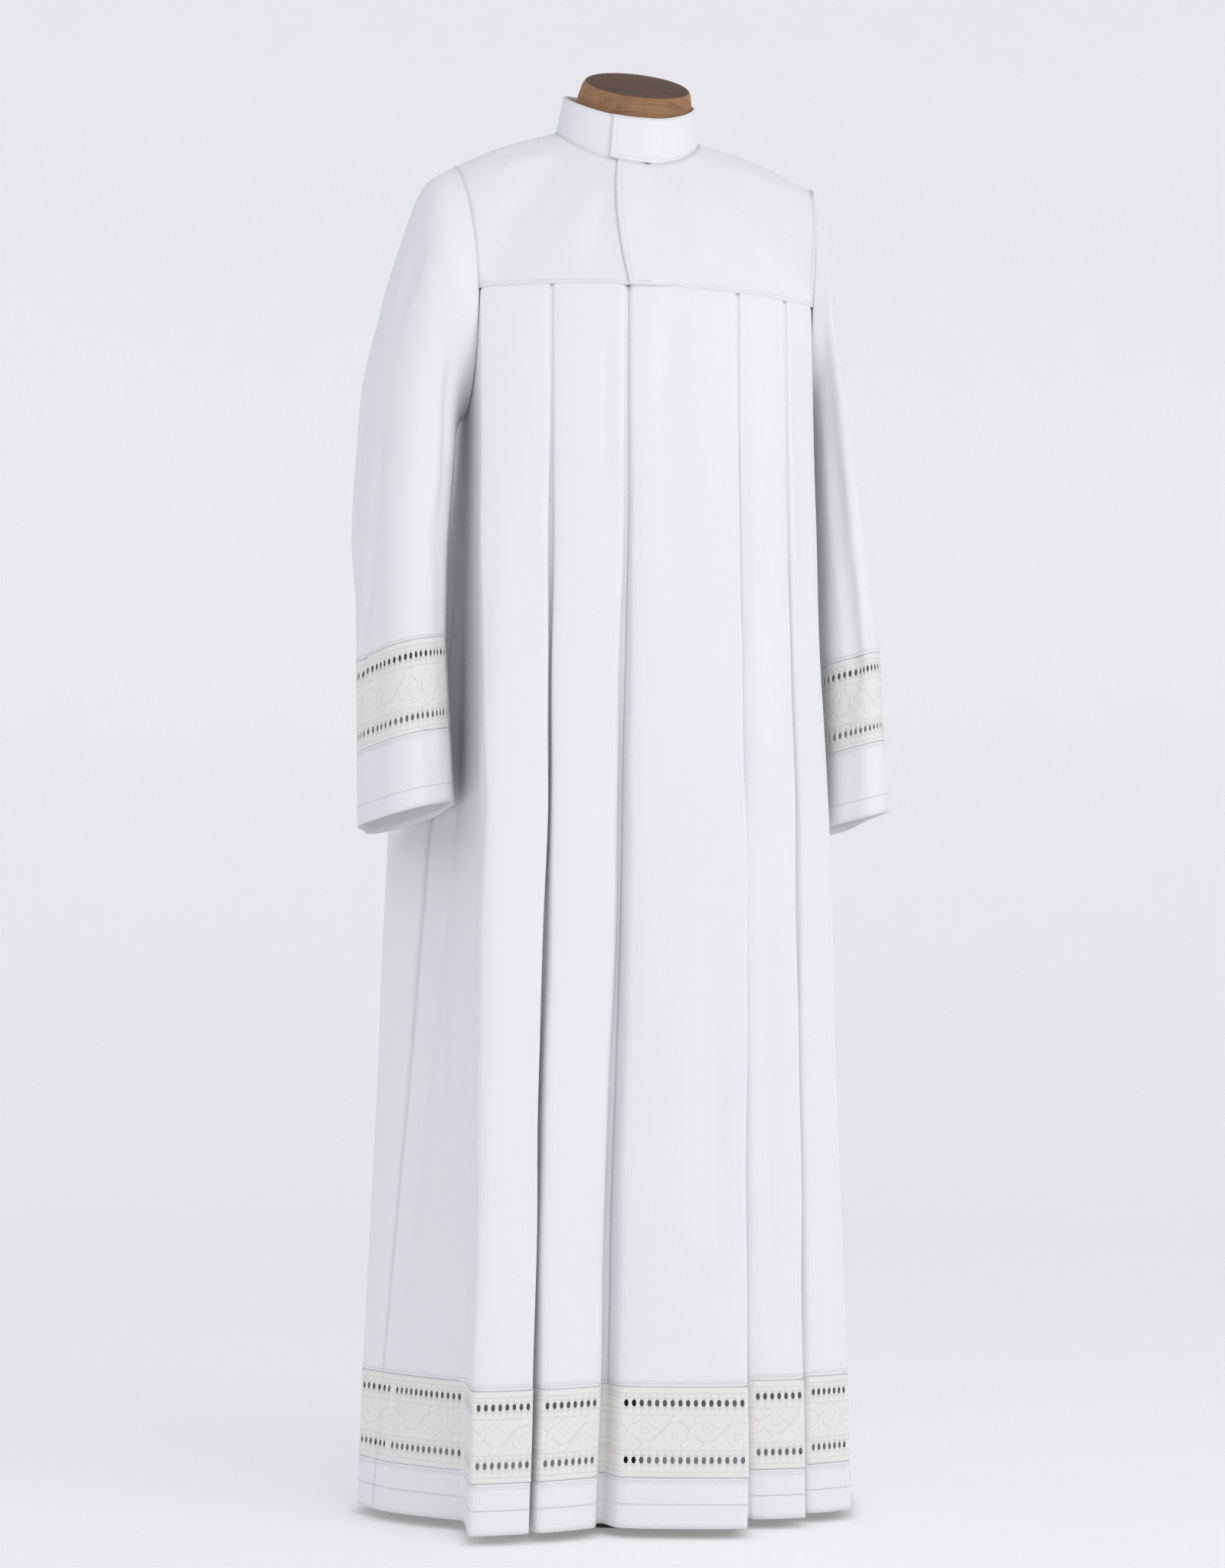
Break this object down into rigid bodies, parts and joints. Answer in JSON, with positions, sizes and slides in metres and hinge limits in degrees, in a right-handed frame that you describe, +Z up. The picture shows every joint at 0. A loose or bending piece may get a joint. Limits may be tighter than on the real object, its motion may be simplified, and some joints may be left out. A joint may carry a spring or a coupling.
{
  "type": "alb robe on a dress form",
  "caption": "Long white pleated alb with a stand collar, yoke, wide sleeves and openwork lace bands at hem and cuffs, standing on a limbless dress form.",
  "frame": {"origin": "centre of the underside of the stand's foot, on the floor", "axes": "+Z up, -Y the way the robe faces, +X towards the robe's own left side"},
  "size_m": [0.589, 0.4324, 1.6116],
  "materials": {
    "cloth": "matt white fine cotton blend, plain weave",
    "lace": "matt warm white openwork lace",
    "form": "satin brown",
    "stand": "satin"
  },
  "bodies": {
    "root": {"yoke_front_left": "cloth", "yoke_front_right": "cloth", "yoke_back": "cloth", "collar": "cloth", "skirt_front_left": "cloth", "skirt_front_right": "cloth", "skirt_back": "cloth", "hem_band_front": "cloth", "hem_band_back": "cloth", "sleeve_left": "cloth", "sleeve_right": "cloth", "cuff_left": "cloth", "cuff_right": "cloth", "hem_lace_front": "lace", "hem_lace_back": "lace", "sleeve_lace_left_front": "lace", "sleeve_lace_left_back": "lace", "sleeve_lace_right_front": "lace", "sleeve_lace_right_back": "lace", "form_torso": "form", "form_neck_block": "form", "form_pole": "stand", "form_foot": "stand"}
  },
  "joints": []
}
